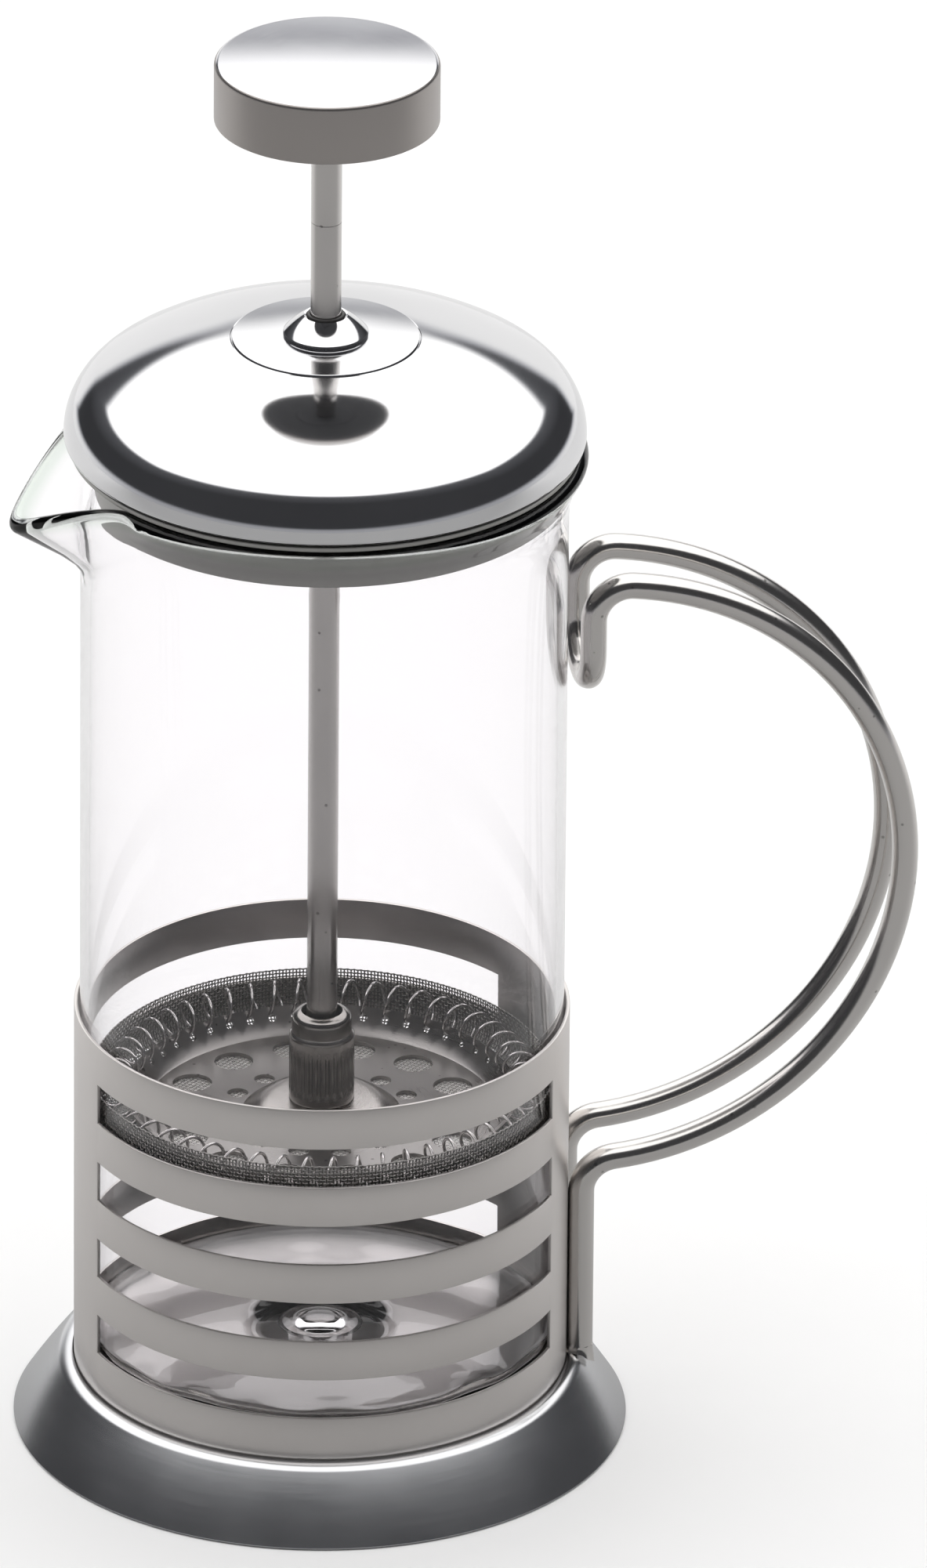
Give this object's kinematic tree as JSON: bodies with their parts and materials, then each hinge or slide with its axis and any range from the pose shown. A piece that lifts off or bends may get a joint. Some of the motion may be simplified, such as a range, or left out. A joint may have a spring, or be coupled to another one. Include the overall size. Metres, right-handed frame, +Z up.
{
  "type": "french press",
  "caption": "Glass coffee press in a slotted steel frame with a double wire handle, domed lid and a mesh plunger.",
  "frame": {"origin": "on the beaker axis, in the plane of the foot", "axes": "+Z up along the beaker axis, +X towards the handle, -X towards the spout"},
  "size_m": [0.1318, 0.0892, 0.2154],
  "materials": {
    "polished_steel": "mirror polished stainless steel",
    "satin_steel": "satin brushed stainless steel",
    "wire_steel": "polished wire with fine drawing marks",
    "clear_glass": "clear borosilicate glass with a faint green edge",
    "liner_grey": "satin grey liner",
    "bush_plastic": "plain nylon",
    "rod_steel": "drawn steel rod",
    "knob_steel": "satin side and polished top",
    "knob_plastic": "black moulded plastic",
    "brass_insert": "turned brass",
    "filter_steel": "pressed stainless steel, slightly worn",
    "spring_steel": "bright spring wire",
    "mesh_steel": "woven fine wire"
  },
  "bodies": {
    "stand": {"base_skirt": "polished_steel", "bottom_plate": "satin_steel", "floor_plate": "satin_steel", "slotted_sleeve": "satin_steel", "handle_wire": "wire_steel"},
    "beaker": {"glass_beaker": "clear_glass"},
    "lid_liner": {"lid_liner": "liner_grey"},
    "lid": {"lid_dome": "polished_steel", "lid_ferrule": "polished_steel", "guide_nut": "satin_steel"},
    "bush": {"rod_bush": "bush_plastic"},
    "plunger": {"plunger_rod": "rod_steel", "knob_stem": "rod_steel", "knob_shell": "knob_steel", "knob_base": "knob_plastic", "knob_insert": "brass_insert", "filter_hub": "filter_steel", "dished_washer": "filter_steel", "filter_plate": "filter_steel", "coil_spring": "spring_steel", "mesh_screen": "mesh_steel", "cross_plate": "filter_steel", "clamp_stud": "rod_steel"}
  },
  "joints": [
    {"name": "beaker_lift", "type": "slide", "parent": "stand", "child": "beaker", "axis": [0, 0, 1], "range_m": [0, 0.062]},
    {"name": "lid_lift", "type": "slide", "parent": "beaker", "child": "lid_liner", "axis": [0, 0, 1], "range_m": [0, 0.118]},
    {"name": "lid_turn", "type": "hinge", "parent": "lid_liner", "child": "lid", "pos_m": [0, 0, 0.16], "axis": [0, 0, 1], "continuous": true},
    {"name": "plunger_turn", "type": "hinge", "parent": "lid", "child": "bush", "pos_m": [0, 0, 0.17], "axis": [0, 0, 1], "continuous": true},
    {"name": "plunger_slide", "type": "slide", "parent": "bush", "child": "plunger", "axis": [0, 0, 1], "range_m": [-0.0285, 0.082]}
  ]
}
